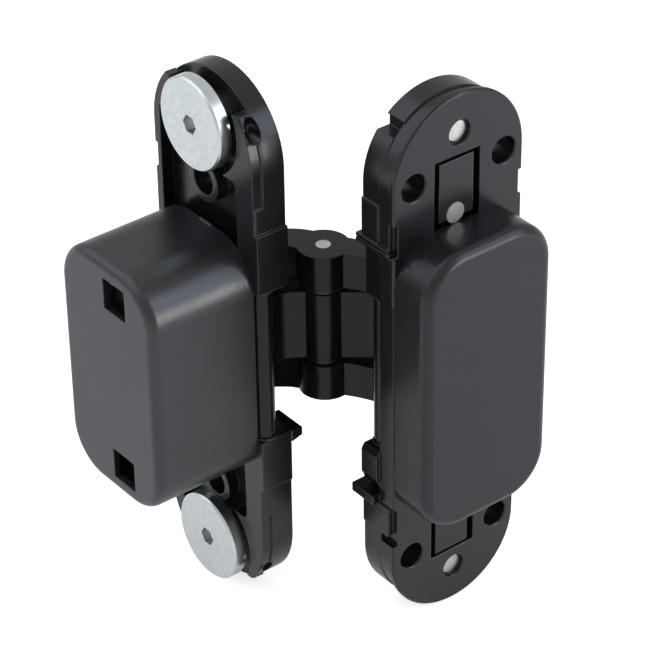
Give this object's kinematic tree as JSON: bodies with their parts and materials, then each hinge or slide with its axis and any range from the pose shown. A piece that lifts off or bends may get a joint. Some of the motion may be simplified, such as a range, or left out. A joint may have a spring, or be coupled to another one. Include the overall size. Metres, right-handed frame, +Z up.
{
  "type": "concealed invisible door hinge",
  "caption": "Concealed door hinge: round-ended mortised halves with box covers, joined by crossing hooked arms that fold away inside them when the door shuts.",
  "frame": {"origin": "centre of the frame half's front face, midway between its fixing screws", "axes": "+Z up along the hinge, +Y out of the door frame, +X towards the opening side; stored with the door at ninety degrees"},
  "size_m": [0.0583, 0.0668, 0.11],
  "materials": {
    "casting_black": "satin",
    "cover_black": "satin",
    "arm_black": "satin",
    "bright_zinc": "satin",
    "pin_steel": "satin",
    "washer_black": "matte",
    "tongue_black": "satin"
  },
  "bodies": {
    "frame_half": {"frame_body": "casting_black", "frame_cover": "cover_black", "frame_pivot_pin": "pin_steel", "frame_bushes": "washer_black"},
    "middle_link": {"middle_arm": "arm_black", "door_slide_pin": "pin_steel", "door_slide_sleeves": "washer_black"},
    "fork_link": {"fork_arm": "arm_black", "centre_pin": "pin_steel", "knuckle_washers": "washer_black", "frame_slide_pin": "pin_steel", "frame_slide_sleeves": "washer_black"},
    "door_half": {"door_body": "casting_black", "door_cover": "cover_black", "door_pivot_pin": "pin_steel", "door_bushes": "washer_black"},
    "disc_upper": {"disc_upper": "bright_zinc"},
    "tongue_upper": {"tongue_upper": "tongue_black"},
    "tongue_screw_upper": {"tongue_screw_upper": "bright_zinc"},
    "set_screw_upper": {"set_screw_upper": "bright_zinc"},
    "disc_lower": {"disc_lower": "bright_zinc"},
    "tongue_lower": {"tongue_lower": "tongue_black"},
    "tongue_screw_lower": {"tongue_screw_lower": "bright_zinc"},
    "set_screw_lower": {"set_screw_lower": "bright_zinc"}
  },
  "joints": [
    {"name": "door_fold", "type": "hinge", "parent": "frame_half", "child": "middle_link", "pos_m": [0.013, -0.0045, 0], "axis": [0, 0, -1], "range_deg": [-72, 64]},
    {"name": "arm_cross", "type": "hinge", "parent": "middle_link", "child": "fork_link", "pos_m": [0.0082, 0.0134, 0], "axis": [0, 0, -1], "range_deg": [-29.4, 33.05]},
    {"name": "door_swing", "type": "hinge", "parent": "fork_link", "child": "door_half", "pos_m": [0.0285, 0.0112, 0], "axis": [0, 0, -1], "range_deg": [-51.05, 45.4]},
    {"name": "disc_upper_turn", "type": "hinge", "parent": "frame_half", "child": "disc_upper", "pos_m": [0, -0.0068, 0.0453], "axis": [0, -1, 0], "continuous": true},
    {"name": "tongue_upper_slide", "type": "slide", "parent": "door_half", "child": "tongue_upper", "axis": [0, 1, 0], "range_m": [-0.0009, 0.0009]},
    {"name": "tongue_screw_upper_turn", "type": "hinge", "parent": "tongue_upper", "child": "tongue_screw_upper", "pos_m": [0.0326, 0.022, 0.0316], "axis": [1, 0, 0], "continuous": true},
    {"name": "set_screw_upper_turn", "type": "hinge", "parent": "door_half", "child": "set_screw_upper", "pos_m": [0.0305, 0.0229, 0.0473], "axis": [1, 0, 0], "continuous": true},
    {"name": "disc_lower_turn", "type": "hinge", "parent": "frame_half", "child": "disc_lower", "pos_m": [0, -0.0068, -0.0453], "axis": [0, -1, 0], "continuous": true},
    {"name": "tongue_lower_slide", "type": "slide", "parent": "door_half", "child": "tongue_lower", "axis": [0, 1, 0], "range_m": [-0.0009, 0.0009]},
    {"name": "tongue_screw_lower_turn", "type": "hinge", "parent": "tongue_lower", "child": "tongue_screw_lower", "pos_m": [0.0326, 0.022, -0.0316], "axis": [1, 0, 0], "continuous": true},
    {"name": "set_screw_lower_turn", "type": "hinge", "parent": "door_half", "child": "set_screw_lower", "pos_m": [0.0305, 0.0229, -0.0473], "axis": [1, 0, 0], "continuous": true}
  ],
  "couplings": [
    {"joint": "arm_cross", "follows": "door_fold", "ratio": -0.45833},
    {"joint": "door_swing", "follows": "door_fold", "ratio": 0.70833}
  ]
}
